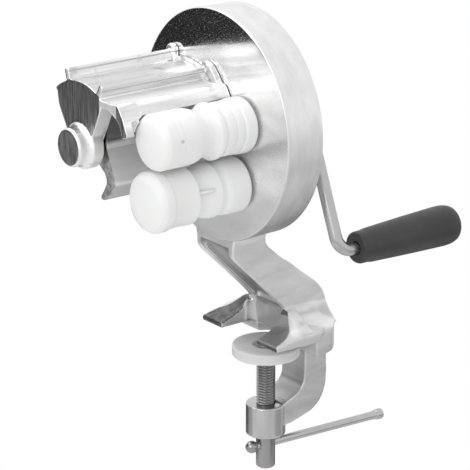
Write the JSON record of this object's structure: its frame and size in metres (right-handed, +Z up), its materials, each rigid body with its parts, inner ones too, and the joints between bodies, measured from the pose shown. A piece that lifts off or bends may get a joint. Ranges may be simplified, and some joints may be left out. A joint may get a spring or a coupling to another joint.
{
  "type": "noodle press",
  "caption": "Hand-cranked noodle press: cast aluminium gear case with white forming rollers, a cutter under a finned hood, a bent crank with black grip, and a screw clamp for a table edge.",
  "frame": {"origin": "On the flat underside of the jaw, on the centreline, between the slot of the feet and the rear lip.", "axes": "+Z up, away from the table; -Y towards the table, the way the rollers and the hood point; +X to the right seen from the front, the rollers' side."},
  "size_m": [0.1374, 0.215, 0.2885],
  "materials": {
    "cast_aluminium": "polished casting with fine scratches and darker mottled patches",
    "steel": "bright drawn steel",
    "bronze": "plain turned bronze",
    "white_plastic": "white, slightly see-through, satin",
    "black_plastic": "black, satin, fine grain"
  },
  "bodies": {
    "frame": {"body_casting": "cast_aluminium", "rear_cover": "cast_aluminium", "cover_screw_1": "steel", "cover_screw_2": "steel", "cover_screw_3": "steel", "cover_screw_4": "steel", "cover_screw_5": "steel", "forming_hood": "cast_aluminium", "hood_screw_1": "steel", "hood_screw_2": "steel", "hood_screw_3": "steel", "drive_face_bush": "bronze", "lower_roller_bush": "bronze", "cutter_face_bush": "bronze", "drive_rear_bush": "bronze", "cutter_rear_bush": "bronze", "cutter_front_bush": "bronze"},
    "crank": {"drive_shaft": "steel", "drive_key": "steel", "upper_roller_gear": "steel", "main_gear": "steel", "gear_spacer": "steel", "upper_roller": "white_plastic", "upper_roller_pin": "steel", "crank_rod": "steel", "crank_nut": "steel", "grip_nut": "steel"},
    "grip": {"handle_grip": "black_plastic"},
    "lower_roller": {"lower_shaft": "steel", "lower_key": "steel", "lower_roller_gear": "steel", "lower_clip": "steel", "lower_roller": "white_plastic", "lower_roller_pin": "steel"},
    "cutter": {"cutter": "cast_aluminium", "cutter_pin": "steel", "cutter_shaft": "steel", "cutter_key": "steel", "cutter_gear": "steel", "cutter_spacer": "steel"},
    "clamp_pad": {"clamp_pad": "white_plastic"},
    "clamp_screw": {"clamp_screw": "steel", "pad_clip": "steel"},
    "tommy_bar": {"tommy_bar": "steel", "tommy_ball": "steel"}
  },
  "joints": [
    {"name": "crank_turn", "type": "hinge", "parent": "frame", "child": "crank", "pos_m": [0.0275, -0.05, 0.1394], "axis": [0, 1, 0], "continuous": true},
    {"name": "lower_roller_turn", "type": "hinge", "parent": "frame", "child": "lower_roller", "pos_m": [0.02199, -0.05, 0.10382], "axis": [0, 1, 0], "continuous": true},
    {"name": "cutter_turn", "type": "hinge", "parent": "frame", "child": "cutter", "pos_m": [-0.02387, -0.05, 0.12857], "axis": [0, 1, 0], "continuous": true},
    {"name": "grip_spin", "type": "hinge", "parent": "crank", "child": "grip", "pos_m": [0.05792, 0.05, 0.06218], "axis": [0, 1, 0], "continuous": true},
    {"name": "clamp_travel", "type": "slide", "parent": "frame", "child": "clamp_pad", "axis": [0, 0, 1], "range_m": [-0.017, 0.0032]},
    {"name": "clamp_turn", "type": "hinge", "parent": "clamp_pad", "child": "clamp_screw", "pos_m": [0, -0.011, -0.05], "axis": [0, 0, 1], "range_deg": [-3490, 655]},
    {"name": "tommy_slide", "type": "slide", "parent": "clamp_screw", "child": "tommy_bar", "axis": [-0.0872, -0.9962, 0], "range_m": [0, 0.07]}
  ],
  "couplings": [
    {"joint": "lower_roller_turn", "follows": "crank_turn", "ratio": -1},
    {"joint": "cutter_turn", "follows": "crank_turn", "ratio": -1.5},
    {"joint": "clamp_travel", "follows": "clamp_turn", "m_per_rad": 0.00027852}
  ]
}
